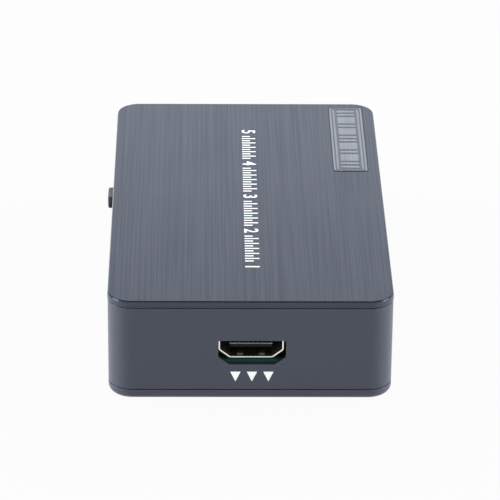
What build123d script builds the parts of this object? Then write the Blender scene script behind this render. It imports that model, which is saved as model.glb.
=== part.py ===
"""Video switch box: a flat case with five inputs, one output, a select button and a power jack.

All sizes are in millimetres. +Z is up, the output socket faces -Y, the select button -X,
the five inputs +X and the power jack +Y. The origin lies on the surface that the feet
stand on, in the middle of the whole footprint. The button stands out of one side only,
so the case itself sits a little to the right of the origin.
"""
from build123d import *
import os
from math import cos, radians, sin

os.makedirs("parts", exist_ok=True)

# Case
case_width = 64.0
case_length = 110.0
corner_radius = 5.5
wall = 1.2
cover_rim_height = 2.7
frame_height = 20.5
lid_thickness = 1.65
lid_overhang = 0.1
lid_edge_radius = 0.6
cover_edge_radius = 1.7
cover_floor = 1.6
seam_chamfer = 0.15
lip_thickness = 0.9
lip_gap = 0.1
lip_depth = 1.8
overrun = 1.0

# Rubber feet
foot_radius = 4.0
foot_height = 0.8
foot_recess = 0.5
foot_gap = 0.1
foot_edge_radius = 0.3
foot_inset = 10.0
foot_end_inset = 14.0

# Posts and case screws
post_radius = 3.2
post_inset = 4.2
screw_radius = 1.3
screw_head_radius = 2.3
screw_head_height = 1.6
screw_bite = 6.0
screw_gap = 0.1
screw_cross = 2.8
screw_slot_width = 0.6
screw_slot_depth = 0.7
head_recess_gap = 0.3
head_seat_height = 3.6

# Circuit board
board_thickness = 1.6
board_underside = 8.25
board_gap = 1.0
hole_gap = 0.15

# Sockets: the opening, its sheet-metal shell and the wall's cut-out
opening_width = 14.0
opening_height = 4.55
opening_floor_width = 9.4
opening_bend_height = 1.8
opening_corner_radius = 0.6
shell_sheet = 0.3
shell_depth = 11.0
mouth_set_back = 0.6
cutout_side_gap = 0.6
cutout_top_gap = 0.2
cutout_floor_gap = 1.17
cutout_slope_gap = 0.4
cutout_corner_radius = 0.4
leg_width = 1.2
leg_reach = 0.8
leg_depth_shares = (0.28, 0.82)
spring_width = 1.3
spring_sheet = 0.2
spring_rise = 0.45
spring_spread = 4.9
spring_tip_depth = 1.0
spring_length = 5.0
spring_curl = 0.8
input_count = 5
input_end_gap_share = 5 / 66
output_shift = -0.2
output_offset = 0.35

# Socket insulator and contacts
moulding_gap = 0.05
tongue_width = 9.8
tongue_thickness = 1.2
tongue_floor_gap = 1.85
tongue_set_back = 0.7
tongue_edge = 0.25
block_depth = 7.2
contact_pitch = 1.0
upper_contacts = 10
contact_width = 0.4
contact_sheet = 0.12
contact_set_back = 0.5
contact_foot = 0.9

# Select button and its tact switch
button_length = 6.9
button_height = 3.0
button_corner_radius = 0.9
button_edge_radius = 0.4
button_proud = 2.0
button_gap = 0.2
button_travel = 0.35
button_axis_height = 12.0
button_along_share = 0.24
button_ear = 0.9
button_ear_thickness = 0.8
button_stem_length = 3.0
button_stem_height = 1.8
button_stem_reach = 1.8
switch_width = 6.0
switch_depth = 3.6
switch_cover_sheet = 0.3
switch_cavity_radius = 1.9
plunger_radius = 1.0
plunger_gap = 0.08
plunger_reach = 1.0
plunger_flange_radius = 1.7
plunger_flange = 0.5
dome_height = 0.4
dome_sheet = 0.12

# Status lamps
lamp_count = 5
lamp_pitch = 9.5
lamp_radius = 1.5
lamp_length = 5.2
lamp_flange_radius = 1.75
lamp_flange = 0.9
lamp_gap = 0.12
lamp_first_share = 0.02
lamp_dome_share = 0.9
lead_side = 0.5
lead_spacing = 2.2
lead_reach = 1.4
lead_tail = 1.0

# Remote control receiver and its window
window_width = 7.0
window_height = 3.4
window_corner_radius = 0.6
window_gap = 0.1
window_flange = 0.6
window_flange_sheet = 0.6
window_along_share = 0.13
receiver_width = 5.0
receiver_depth = 2.8
receiver_stand = 0.3
receiver_lens_radius = 1.5
receiver_lens_reach = 1.0
receiver_window_gap = 0.3
receiver_lead_pitch = 1.6
receiver_lead_count = 3
receiver_dome_share = 0.9

# Power jack
jack_across_share = -0.25
jack_width = 9.0
jack_height = 10.6
jack_depth = 12.4
jack_nose_radius = 4.0
jack_nose_gap = 0.15
jack_board_gap = 0.2
jack_bore_radius = 3.2
jack_bore_depth = 9.6
jack_axis_height = 5.8
jack_pin_radius = 1.0
jack_pin_set_back = 2.2
jack_sheet = 0.4
jack_tab_width = 2.2
jack_slot_gap = 0.1
jack_spring_length = 6.5
jack_corner_radius = 0.4

# Badge plate let into the lid
badge_width = 8.2
badge_length = 37.7
badge_thickness = 0.4
badge_recess = 0.25
badge_gap = 0.05
badge_corner_radius = 0.6
badge_side_inset = 7.0
badge_end_inset = 21.8

# Parts on the board
part_gap = 0.8
chip_gap = 1.5
switch_chip_side = 14.0
switch_chip_height = 1.4
switch_chip_pins = 16
switch_chip_pitch = 0.8
switch_chip_along_share = -0.1
controller_length = 7.8
controller_width = 4.4
controller_height = 1.1
controller_pins = 10
controller_pitch = 0.65
controller_along_share = -0.3
pin_width = 0.3
pin_sheet = 0.15
pin_reach = 1.0
pin_shoulder_share = 0.45
pin_height_share = 0.5
chip_stand = 0.1
crystal_length = 10.6
crystal_width = 4.6
crystal_height = 3.3
crystal_flange = 0.4
crystal_rim = 0.25
regulator_length = 6.5
regulator_width = 3.6
regulator_height = 1.6
regulator_pin_pitch = 2.3
regulator_pin_width = 0.7
regulator_tab_width = 3.0
regulator_pin_count = 3
regulator_tab_count = 1
capacitor_radius = 3.1
capacitor_height = 7.6
capacitor_groove = 0.3
capacitor_groove_share = 0.15
capacitor_count = 2
resistor_length = 1.6
resistor_width = 0.8
resistor_height = 0.45
ceramic_height = 0.8
resistor_pitch = 3.0
resistors_each = 3
ceramics_each = 2

# Levels, upwards from the surface that the feet stand on
cover_bottom = foot_height
cover_top = cover_bottom + cover_rim_height
frame_top = cover_top + frame_height
board_bottom = cover_bottom + board_underside
board_top = board_bottom + board_thickness
floor_top = cover_bottom + cover_floor
button_level = cover_bottom + button_axis_height

# Outlines and places that follow from the sizes above
case_x = (button_proud - lid_overhang) / 2
inner_width = case_width - 2 * wall
inner_length = case_length - 2 * wall
inner_radius = corner_radius - wall
board_width = inner_width - 2 * board_gap
board_length = inner_length - 2 * board_gap
board_radius = inner_radius - board_gap
post_x = inner_width / 2 - post_inset
post_y = inner_length / 2 - post_inset
pilot_radius = screw_radius + screw_gap
shell_width = opening_width + 2 * shell_sheet
mouth_x = case_width / 2 - wall - mouth_set_back
mouth_y = case_length / 2 - wall - mouth_set_back
input_slack = 2 * (post_y - post_radius) - input_count * shell_width
input_pitch = shell_width + (1 - 2 * input_end_gap_share) * input_slack / (input_count - 1)
input_places = [(step - (input_count - 1) / 2) * input_pitch for step in range(input_count)]
output_x = output_offset + output_shift
tongue_floor = shell_sheet + tongue_floor_gap
tongue_top = tongue_floor + tongue_thickness
button_y = button_along_share * case_length
window_y = window_along_share * case_length
lamp_places = [lamp_first_share * case_length - step * lamp_pitch for step in range(lamp_count)]
jack_x = jack_across_share * case_width
ear_back = case_width / 2 - wall - button_ear_thickness
stem_end = ear_back - button_stem_reach
switch_front = stem_end - plunger_reach
switch_height = 2 * (button_level - board_top)
lamp_back = case_width / 2 - lamp_length
lamp_lead_x = lamp_back - lead_reach
resistor_x = mouth_x - shell_depth - contact_foot - part_gap - resistor_length / 2
ceramic_x = resistor_x - resistor_length - part_gap
switch_chip_x = ceramic_x - resistor_length / 2 - chip_gap - pin_reach - switch_chip_side / 2
switch_chip_y = switch_chip_along_share * case_length
left_parts_x = -(lamp_lead_x - chip_gap - lead_side - pin_reach)


def level(height):
    """Horizontal plane at a height, centred on the case."""
    return Plane(origin=(case_x, 0, height))


def facing(direction, x, y, height):
    """Upright plane seen from outside: its own x runs to the right, its y up, its z outwards."""
    outward = Vector(direction)
    return Plane(origin=(case_x + x, y, height), x_dir=Vector(0, 0, 1).cross(outward), z_dir=outward)


def turned(x, y, height, angle):
    """Horizontal plane at a place on the board, turned about the vertical."""
    direction = (cos(radians(angle)), sin(radians(angle)), 0)
    return Plane(origin=(case_x + x, y, height), x_dir=direction, z_dir=(0, 0, 1))


def save(piece, name):
    """Label a finished piece and write it under its name."""
    piece.part.label = name
    export_step(piece.part, f"parts/{name}.step")


def rounded_block(bottom, top, width, length, radius):
    """Upright block with round corners, centred on the case."""
    with BuildSketch(level(bottom)) as outline:
        RectangleRounded(width, length, radius)
    extrude(outline.sketch, amount=top - bottom)


def lip_ring(start, depth):
    """Locating lip that fits inside the frame, from one level up or down."""
    outer_width = inner_width - 2 * lip_gap
    outer_length = inner_length - 2 * lip_gap
    outer_radius = inner_radius - lip_gap
    with BuildSketch(level(start)) as outline:
        RectangleRounded(outer_width, outer_length, outer_radius)
        RectangleRounded(
            outer_width - 2 * lip_thickness,
            outer_length - 2 * lip_thickness,
            outer_radius - lip_thickness,
            mode=Mode.SUBTRACT,
        )
    extrude(outline.sketch, amount=depth)


def post_circles(height, radius):
    """One circle at each of the four posts."""
    with BuildSketch(level(height)) as circles:
        with GridLocations(2 * post_x, 2 * post_y, 2, 2):
            Circle(radius)
    return circles.sketch


def foot_circles(height, radius):
    """One circle at each of the four feet."""
    with BuildSketch(level(height)) as circles:
        with GridLocations(case_width - 2 * foot_inset, case_length - 2 * foot_end_inset, 2, 2):
            Circle(radius)
    return circles.sketch


# Socket planes: own x along the wall, own y up from the board, own z out of the mouth
output_mouth = facing((0, -1, 0), output_x, -mouth_y, board_top)
input_mouths = [facing((1, 0, 0), mouth_x, place, board_top) for place in input_places]
all_mouths = [output_mouth] + input_mouths


def sloped_outline(plane, half_width, half_floor, heights, radius, grow=0):
    """Socket shape: straight sides down to a bend, then slopes to a narrower floor."""
    floor, bend, top = heights
    with BuildSketch(plane) as outline:
        with BuildLine():
            Polyline(
                (-half_floor, floor),
                (half_floor, floor),
                (half_width, bend),
                (half_width, top),
                (-half_width, top),
                (-half_width, bend),
                close=True,
            )
        make_face()
        fillet(vertices(), radius)
        if grow:
            offset(amount=grow)
    return outline.sketch


def opening_outline(plane, grow=0):
    """The opening inside a socket's shell, every side moved out by the same amount."""
    heights = (shell_sheet, shell_sheet + opening_bend_height, shell_sheet + opening_height)
    return sloped_outline(
        plane, opening_width / 2, opening_floor_width / 2, heights, opening_corner_radius, grow
    )


def cutout_outline(plane):
    """The wall's cut-out around a socket, with its slopes as far below the shell's as its floor is."""
    floor = shell_sheet - cutout_floor_gap
    heights = (floor, floor + opening_bend_height, shell_sheet + opening_height + cutout_top_gap)
    return sloped_outline(
        plane,
        opening_width / 2 + cutout_side_gap,
        opening_floor_width / 2 + cutout_slope_gap,
        heights,
        cutout_corner_radius,
    )


def leg_blocks(mouth, grow, mode):
    """The shell's four legs, or with a clearance the board's slots for them."""
    top = shell_sheet + opening_bend_height
    bottom = -(board_thickness + leg_reach)
    middle = (top + bottom) / 2
    reach = (shell_width - shell_sheet) / 2
    for share in leg_depth_shares:
        front = share * shell_depth - leg_width / 2 - grow
        with BuildSketch(mouth.offset(-front)) as legs:
            with Locations((-reach, middle), (reach, middle)):
                Rectangle(shell_sheet + 2 * grow, top - bottom)
        extrude(legs.sketch, amount=-(leg_width + 2 * grow), mode=mode)


def shell_springs(mouth):
    """Sprung tongues of the shell: two on its floor and two on its roof, rising towards the mouth."""
    floor = shell_sheet
    roof = shell_sheet + opening_height
    crest_depth = spring_tip_depth + spring_curl
    root_depth = spring_tip_depth + spring_length
    for base, way in ((floor, 1), (roof, -1)):
        for side in (-1, 1):
            middle = mouth.from_local_coords((side * spring_spread / 2, 0, 0))
            with BuildSketch(Plane(origin=middle, x_dir=-mouth.z_dir, z_dir=mouth.x_dir)) as profile:
                with BuildLine():
                    Polyline(
                        (root_depth, base - way * shell_sheet / 2),
                        (root_depth, base + way * spring_sheet),
                        (crest_depth, base + way * spring_rise),
                        (spring_tip_depth, base + way * (spring_rise - spring_sheet)),
                        (spring_tip_depth, base + way * (spring_rise - 2 * spring_sheet)),
                        (crest_depth, base + way * (spring_rise - spring_sheet)),
                        (root_depth - spring_curl, base - way * shell_sheet / 2),
                        close=True,
                    )
                make_face()
            extrude(profile.sketch, amount=spring_width / 2, both=True)


def contact_strips(mouth, mode):
    """Contact strips along the top and the underside of the tongue."""
    length = shell_depth - tongue_set_back - contact_set_back
    rows = (
        (upper_contacts, tongue_top - contact_sheet / 2),
        (upper_contacts - 1, tongue_floor + contact_sheet / 2),
    )
    with BuildSketch(mouth.offset(-(tongue_set_back + contact_set_back))) as strips:
        for count, height in rows:
            with Locations((0, height)):
                with GridLocations(contact_pitch, 0, count, 1):
                    Rectangle(contact_width, contact_sheet)
    extrude(strips.sketch, amount=-length, mode=mode)


def contact_tails(mouth):
    """Tails that drop behind the block and end in feet on the board."""
    rows = ((upper_contacts, tongue_top), (upper_contacts - 1, tongue_floor + contact_sheet))
    for depth, drop in ((contact_sheet, True), (contact_foot, False)):
        with BuildSketch(mouth.offset(-shell_depth)) as tails:
            for count, height in rows:
                reach = height if drop else contact_sheet
                with Locations((0, reach / 2)):
                    with GridLocations(contact_pitch, 0, count, 1):
                        Rectangle(contact_width, reach)
        extrude(tails.sketch, amount=-depth)


# Lid: top plate, locating lip and four posts that take the case screws
with BuildPart() as lid:
    rounded_block(
        frame_top,
        frame_top + lid_thickness,
        case_width + 2 * lid_overhang,
        case_length + 2 * lid_overhang,
        corner_radius + lid_overhang,
    )
    fillet(lid.faces().sort_by(Axis.Z)[-1].edges(), lid_edge_radius)
    lip_ring(frame_top, -lip_depth)
    extrude(post_circles(frame_top, post_radius), amount=-(frame_top - board_top))
    extrude(post_circles(board_top, pilot_radius), amount=screw_bite + screw_gap, mode=Mode.SUBTRACT)
    badge_x = case_width / 2 - badge_side_inset
    badge_y = case_length / 2 - badge_end_inset
    badge_floor = frame_top + lid_thickness - badge_recess
    with BuildSketch(level(badge_floor)):
        with Locations((badge_x, badge_y)):
            RectangleRounded(badge_width + 2 * badge_gap, badge_length + 2 * badge_gap, badge_corner_radius)
    extrude(amount=badge_recess + overrun, mode=Mode.SUBTRACT)
save(lid, "lid")

with BuildPart() as badge_plate:
    with BuildSketch(level(badge_floor)):
        with Locations((badge_x, badge_y)):
            RectangleRounded(badge_width, badge_length, badge_corner_radius)
    extrude(amount=badge_thickness)
save(badge_plate, "badge_plate")

# Frame: the side walls in one ring, open at top and bottom, with the cut-outs
with BuildPart() as body_frame:
    rounded_block(cover_top, frame_top, case_width, case_length, corner_radius)
    rims = body_frame.faces().filter_by(Plane.XY)
    chamfer(rims.edges(), seam_chamfer)
    with BuildSketch(level(cover_top)):
        RectangleRounded(inner_width, inner_length, inner_radius)
    extrude(amount=frame_height, mode=Mode.SUBTRACT)
    cutouts = [facing((0, -1, 0), output_offset, -case_length / 2, board_top)]
    cutouts += [facing((1, 0, 0), case_width / 2, place, board_top) for place in input_places]
    for cutout in cutouts:
        extrude(cutout_outline(cutout.offset(overrun)), amount=-(wall + 2 * overrun), mode=Mode.SUBTRACT)
    with BuildSketch(facing((-1, 0, 0), -case_width / 2 - overrun, button_y, button_level)):
        RectangleRounded(
            button_length + 2 * button_gap,
            button_height + 2 * button_gap,
            button_corner_radius + button_gap,
        )
    extrude(amount=-(wall + 2 * overrun), mode=Mode.SUBTRACT)
    with BuildSketch(facing((-1, 0, 0), -case_width / 2 - overrun, window_y, button_level)):
        RectangleRounded(
            window_width + 2 * window_gap,
            window_height + 2 * window_gap,
            window_corner_radius + window_gap,
        )
    extrude(amount=-(wall + 2 * overrun), mode=Mode.SUBTRACT)
    for place in lamp_places:
        with BuildSketch(facing((-1, 0, 0), -case_width / 2 - overrun, place, button_level)):
            Circle(lamp_radius + lamp_gap)
        extrude(amount=-(wall + 2 * overrun), mode=Mode.SUBTRACT)
    with BuildSketch(facing((0, 1, 0), jack_x, case_length / 2 + overrun, board_top + jack_axis_height)):
        Circle(jack_nose_radius + jack_nose_gap)
    extrude(amount=-(wall + 2 * overrun), mode=Mode.SUBTRACT)
save(body_frame, "body_frame")

# Bottom cover: tray with a locating lip, standoffs under the board and recesses for feet and screws
head_recess_radius = screw_head_radius + head_recess_gap
with BuildPart() as bottom_cover:
    rounded_block(cover_bottom, cover_top, case_width, case_length, corner_radius)
    fillet(bottom_cover.faces().sort_by(Axis.Z)[0].edges(), cover_edge_radius)
    chamfer(bottom_cover.faces().sort_by(Axis.Z)[-1].edges(), seam_chamfer)
    with BuildSketch(level(floor_top)):
        RectangleRounded(inner_width, inner_length, inner_radius)
    extrude(amount=cover_top - floor_top, mode=Mode.SUBTRACT)
    lip_ring(floor_top, cover_top - floor_top + lip_depth)
    extrude(post_circles(floor_top, post_radius), amount=board_bottom - floor_top)
    pilot_depth = board_bottom - cover_bottom
    extrude(post_circles(cover_bottom, pilot_radius), amount=pilot_depth, mode=Mode.SUBTRACT)
    extrude(post_circles(cover_bottom, head_recess_radius), amount=head_seat_height, mode=Mode.SUBTRACT)
    extrude(foot_circles(cover_bottom, foot_radius + foot_gap), amount=foot_recess, mode=Mode.SUBTRACT)
save(bottom_cover, "bottom_cover")

with BuildPart() as rubber_feet:
    extrude(foot_circles(cover_bottom + foot_recess, foot_radius), amount=-(foot_height + foot_recess))
    fillet(rubber_feet.edges().group_by(Axis.Z)[0], foot_edge_radius)
save(rubber_feet, "rubber_feet")

# Case screws: heads in the cover's recesses, shanks through standoff and board into the posts
head_seat = cover_bottom + head_seat_height
with BuildPart() as case_screws:
    extrude(post_circles(head_seat, screw_head_radius), amount=-screw_head_height)
    extrude(post_circles(head_seat, screw_radius), amount=board_top - head_seat + screw_bite)
    with BuildSketch(level(head_seat - screw_head_height)):
        with GridLocations(2 * post_x, 2 * post_y, 2, 2):
            Rectangle(screw_cross, screw_slot_width)
            Rectangle(screw_slot_width, screw_cross)
    extrude(amount=screw_slot_depth, mode=Mode.SUBTRACT)
save(case_screws, "case_screws")

# Circuit board with its screw holes, leg slots and lead holes
with BuildPart() as circuit_board:
    rounded_block(board_bottom, board_top, board_width, board_length, board_radius)
    extrude(post_circles(board_bottom, screw_radius + hole_gap), amount=board_thickness, mode=Mode.SUBTRACT)
    for mouth in all_mouths:
        leg_blocks(mouth, hole_gap, Mode.SUBTRACT)
    lamp_leads = [
        (-lamp_lead_x, place + side * lead_spacing / 2)
        for place in lamp_places
        for side in (-1, 1)
    ]
    with BuildSketch(level(board_bottom)):
        with Locations(*lamp_leads):
            Rectangle(lead_side + 2 * hole_gap, lead_side + 2 * hole_gap)
    extrude(amount=board_thickness, mode=Mode.SUBTRACT)
save(circuit_board, "circuit_board")


def make_socket(mouth, name):
    """Write one socket's shell, insulator and contacts."""
    with BuildPart() as shell:
        extrude(opening_outline(mouth, shell_sheet), amount=-shell_depth)
        extrude(opening_outline(mouth), amount=-shell_depth, mode=Mode.SUBTRACT)
        leg_blocks(mouth, 0, Mode.ADD)
        shell_springs(mouth)
    save(shell, f"{name}_shell")

    with BuildPart() as insulator:
        block = opening_outline(mouth.offset(-block_depth), -moulding_gap)
        extrude(block, amount=-(shell_depth - block_depth))
        with BuildSketch(mouth.offset(-tongue_set_back)):
            with Locations((0, (tongue_floor + tongue_top) / 2)):
                Rectangle(tongue_width, tongue_thickness)
        extrude(amount=-(block_depth - tongue_set_back))
        front = insulator.faces().sort_by(Axis(mouth.origin, mouth.z_dir))[-1]
        chamfer(front.edges(), tongue_edge)
        contact_strips(mouth, Mode.SUBTRACT)
    save(insulator, f"{name}_insulator")

    with BuildPart() as contacts:
        contact_strips(mouth, Mode.ADD)
        contact_tails(mouth)
    save(contacts, f"{name}_contacts")


make_socket(output_mouth, "output")
for number, input_mouth in enumerate(input_mouths, start=1):
    make_socket(input_mouth, f"input_{number}")


def side_plane(set_back, along, height=button_level):
    """Plane seen from the left of the box, set back from the left wall's outer face."""
    return facing((-1, 0, 0), -case_width / 2 + set_back, along, height)


# Select button: cap through the wall, two ears behind it and a stem that meets the plunger
with BuildPart() as select_button:
    with BuildSketch(side_plane(-button_proud, button_y)):
        RectangleRounded(button_length, button_height, button_corner_radius)
    extrude(amount=-(button_proud + wall + button_ear_thickness))
    fillet(select_button.faces().sort_by(Axis.X)[0].edges(), button_edge_radius)
    with BuildSketch(side_plane(wall, button_y)):
        Rectangle(button_length + 2 * button_ear, button_height - 2 * button_gap)
    extrude(amount=-button_ear_thickness)
    with BuildSketch(side_plane(wall + button_ear_thickness, button_y)):
        Rectangle(button_stem_length, button_stem_height)
    extrude(amount=-button_stem_reach)
save(select_button, "select_button")

# Tact switch: base with a round cavity, snap dome on its floor, flanged plunger, sheet cover
cover_front = case_width / 2 - switch_front
base_front = cover_front + switch_cover_sheet
cavity_depth = plunger_gap + plunger_flange + button_travel + dome_height + 2 * plunger_gap
with BuildPart() as switch_base:
    with BuildSketch(side_plane(base_front, button_y)):
        Rectangle(switch_width, switch_height)
    extrude(amount=-switch_depth)
    with BuildSketch(side_plane(base_front, button_y)):
        Circle(switch_cavity_radius)
    extrude(amount=-cavity_depth, mode=Mode.SUBTRACT)
save(switch_base, "switch_base")

with BuildPart() as switch_cover:
    with BuildSketch(side_plane(cover_front, button_y)):
        Rectangle(switch_width, switch_height)
        Circle(plunger_radius + plunger_gap, mode=Mode.SUBTRACT)
    extrude(amount=-switch_cover_sheet)
save(switch_cover, "switch_cover")

with BuildPart() as switch_plunger:
    with BuildSketch(side_plane(cover_front - plunger_reach, button_y)):
        Circle(plunger_radius)
    extrude(amount=-(plunger_reach + switch_cover_sheet + plunger_gap + plunger_flange))
    with BuildSketch(side_plane(base_front + plunger_gap, button_y)):
        Circle(plunger_flange_radius)
    extrude(amount=-plunger_flange)
save(switch_plunger, "switch_plunger")

dome_radius = switch_cavity_radius - plunger_gap
dome_hollow = dome_radius - dome_sheet
with BuildPart() as switch_dome:
    dome_floor = side_plane(base_front + cavity_depth, button_y)
    with BuildSketch(Plane(origin=dome_floor.origin, x_dir=dome_floor.x_dir, z_dir=(0, 0, -1))):
        with BuildLine():
            ThreePointArc((-dome_radius, 0), (0, dome_height), (dome_radius, 0))
            Line((dome_radius, 0), (dome_hollow, 0))
            ThreePointArc((dome_hollow, 0), (0, dome_height - dome_sheet), (-dome_hollow, 0))
            Line((-dome_hollow, 0), (-dome_radius, 0))
        make_face()
        with Locations((-dome_radius, 0)):
            Rectangle(dome_radius, dome_radius, align=(Align.MIN, Align.MIN), mode=Mode.SUBTRACT)
    revolve(axis=Axis(dome_floor.origin, dome_floor.z_dir))
save(switch_dome, "switch_dome")

# Status lamps: domed bodies in the wall's holes, with a flange and two bent leads each
with BuildPart() as status_leds:
    for place in lamp_places:
        with BuildSketch(side_plane(0, place)):
            Circle(lamp_radius)
        extrude(amount=-lamp_length)
    fillet(status_leds.edges().group_by(Axis.X)[0], lamp_radius * lamp_dome_share)
    for place in lamp_places:
        with BuildSketch(side_plane(lamp_length - lamp_flange, place)):
            Circle(lamp_flange_radius)
        extrude(amount=-lamp_flange)
save(status_leds, "status_leds")

with BuildPart() as led_leads:
    for place in lamp_places:
        with BuildSketch(side_plane(lamp_length, place)):
            with GridLocations(lead_spacing, 0, 2, 1):
                Rectangle(lead_side, lead_side)
        extrude(amount=-(lead_reach + lead_side / 2))
    with BuildSketch(level(button_level + lead_side / 2)):
        with Locations(*lamp_leads):
            Rectangle(lead_side, lead_side)
    extrude(amount=-(button_level + lead_side / 2 - board_bottom + lead_tail))
save(led_leads, "led_leads")

# Window for the remote control, with a flange behind the wall, and the receiver behind it
with BuildPart() as ir_window:
    with BuildSketch(side_plane(0, window_y)):
        RectangleRounded(window_width, window_height, window_corner_radius)
    extrude(amount=-(wall + window_flange_sheet))
    with BuildSketch(side_plane(wall, window_y)):
        RectangleRounded(
            window_width + 2 * window_flange,
            window_height,
            window_corner_radius,
        )
    extrude(amount=-window_flange_sheet)
save(ir_window, "ir_window")

lens_front = wall + window_flange_sheet + receiver_window_gap
receiver_front = lens_front + receiver_lens_reach
receiver_height = 2 * (button_level - board_top - receiver_stand)
with BuildPart() as ir_receiver:
    with BuildSketch(side_plane(receiver_front, window_y)):
        Rectangle(receiver_width, receiver_height)
    extrude(amount=-receiver_depth)
    with BuildSketch(side_plane(lens_front, window_y)):
        Circle(receiver_lens_radius)
    extrude(amount=-receiver_lens_reach)
    fillet(ir_receiver.edges().group_by(Axis.X)[0], receiver_lens_reach * receiver_dome_share)
save(ir_receiver, "ir_receiver")

with BuildPart() as ir_receiver_leads:
    with BuildSketch(side_plane(receiver_front + receiver_depth, window_y, board_top)):
        with GridLocations(receiver_lead_pitch, 0, receiver_lead_count, 1):
            Rectangle(lead_side, button_level - board_top, align=(Align.CENTER, Align.MIN))
    extrude(amount=-pin_sheet)
    with BuildSketch(side_plane(receiver_front + receiver_depth, window_y, board_top)):
        with GridLocations(receiver_lead_pitch, 0, receiver_lead_count, 1):
            Rectangle(lead_side, pin_sheet, align=(Align.CENTER, Align.MIN))
    extrude(amount=-pin_reach)
save(ir_receiver_leads, "ir_receiver_leads")


def back_plane(set_back, height=board_top + jack_axis_height):
    """Plane seen from behind the box, set back from the far wall's outer face, at the jack."""
    return facing((0, 1, 0), jack_x, case_length / 2 - set_back, height)


# Power jack: housing with a round nose in the wall, centre pin and spring contact
jack_front = wall + board_gap + jack_board_gap
slot_low = jack_bore_radius + 2 * jack_sheet
slot_high = jack_bore_radius - jack_sheet
tail_place = jack_pin_set_back + jack_spring_length - jack_sheet
pin_base = jack_front + jack_depth
with BuildPart() as dc_jack_housing:
    with BuildSketch(back_plane(jack_front, board_top)):
        with Locations((0, jack_height / 2)):
            RectangleRounded(jack_width, jack_height, jack_corner_radius)
    extrude(amount=-jack_depth)
    with BuildSketch(back_plane(0)):
        Circle(jack_nose_radius)
    extrude(amount=-jack_front)
    with BuildSketch(back_plane(0)):
        Circle(jack_bore_radius)
    extrude(amount=-jack_bore_depth, mode=Mode.SUBTRACT)
    with BuildSketch(back_plane(0)):
        Circle(jack_pin_radius)
    extrude(amount=-pin_base, mode=Mode.SUBTRACT)
    with BuildSketch(back_plane(jack_pin_set_back)):
        with Locations((0, -(slot_low + slot_high) / 2)):
            Rectangle(jack_tab_width + 2 * jack_slot_gap, slot_low - slot_high)
    extrude(amount=-(jack_spring_length + jack_slot_gap), mode=Mode.SUBTRACT)
    with BuildSketch(back_plane(tail_place - jack_slot_gap)):
        with Locations((0, -(jack_axis_height + slot_high) / 2)):
            Rectangle(jack_tab_width + 2 * jack_slot_gap, jack_axis_height - slot_high)
    extrude(amount=-(jack_sheet + 2 * jack_slot_gap), mode=Mode.SUBTRACT)
save(dc_jack_housing, "dc_jack_housing")

with BuildPart() as dc_jack_pin:
    with BuildSketch(back_plane(jack_pin_set_back)):
        Circle(jack_pin_radius)
    extrude(amount=-(pin_base - jack_pin_set_back))
    fillet(dc_jack_pin.edges().sort_by(Axis.Y)[-1], jack_pin_radius / 2)
    with BuildSketch(back_plane(pin_base)):
        with Locations((0, -jack_axis_height / 2)):
            Rectangle(jack_tab_width, jack_axis_height)
        Circle(jack_tab_width / 2)
    extrude(amount=-jack_sheet)
save(dc_jack_pin, "dc_jack_pin")

with BuildPart() as dc_jack_spring:
    with BuildSketch(back_plane(jack_pin_set_back)):
        with Locations((0, -jack_bore_radius)):
            Rectangle(jack_tab_width, jack_sheet)
    extrude(amount=-jack_spring_length)
    with BuildSketch(back_plane(tail_place)):
        with Locations((0, -(jack_axis_height + jack_bore_radius) / 2)):
            Rectangle(jack_tab_width, jack_axis_height - jack_bore_radius)
    extrude(amount=-jack_sheet)
save(dc_jack_spring, "dc_jack_spring")


def pin_rows(x, y, reach, height, count, pitch, width, angles):
    """Bent pins along the sides of a chip: shoulder, drop and foot, one row for each angle."""
    shoulder = height * pin_height_share
    bend = reach + pin_reach * pin_shoulder_share
    parts = (
        (shoulder, pin_sheet, reach, bend),
        (0, shoulder + pin_sheet, bend - pin_sheet, bend),
        (0, pin_sheet, bend - pin_sheet, reach + pin_reach),
    )
    for angle in angles:
        for start, thickness, near, far in parts:
            with BuildSketch(turned(x, y, board_top + start, angle)) as pins:
                with Locations(((near + far) / 2, 0)):
                    with GridLocations(0, pitch, 1, count):
                        Rectangle(far - near, width)
            extrude(pins.sketch, amount=thickness)


def chip_body(x, y, size_x, size_y, height):
    """Moulded chip body standing just clear of the board."""
    with BuildSketch(turned(x, y, board_top + chip_stand, 0)) as outline:
        Rectangle(size_x, size_y)
    extrude(outline.sketch, amount=height)


# Video switch chip in the middle of the board, a row of pins on each side
with BuildPart() as switch_chip:
    chip_body(switch_chip_x, switch_chip_y, switch_chip_side, switch_chip_side, switch_chip_height)
    chamfer(switch_chip.faces().sort_by(Axis.Z)[-1].edges(), pin_sheet)
save(switch_chip, "switch_chip")

with BuildPart() as switch_chip_leads:
    pin_rows(
        switch_chip_x,
        switch_chip_y,
        switch_chip_side / 2,
        switch_chip_height,
        switch_chip_pins,
        switch_chip_pitch,
        pin_width,
        (0, 90, 180, 270),
    )
save(switch_chip_leads, "switch_chip_leads")

# Controller chip and crystal on the left of the board
controller_x = left_parts_x + controller_width / 2
controller_y = controller_along_share * case_length
with BuildPart() as controller_chip:
    chip_body(controller_x, controller_y, controller_width, controller_length, controller_height)
    chamfer(controller_chip.faces().sort_by(Axis.Z)[-1].edges(), pin_sheet)
save(controller_chip, "controller_chip")

with BuildPart() as controller_chip_leads:
    pin_rows(
        controller_x,
        controller_y,
        controller_width / 2,
        controller_height,
        controller_pins,
        controller_pitch,
        pin_width,
        (0, 180),
    )
save(controller_chip_leads, "controller_chip_leads")

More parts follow.
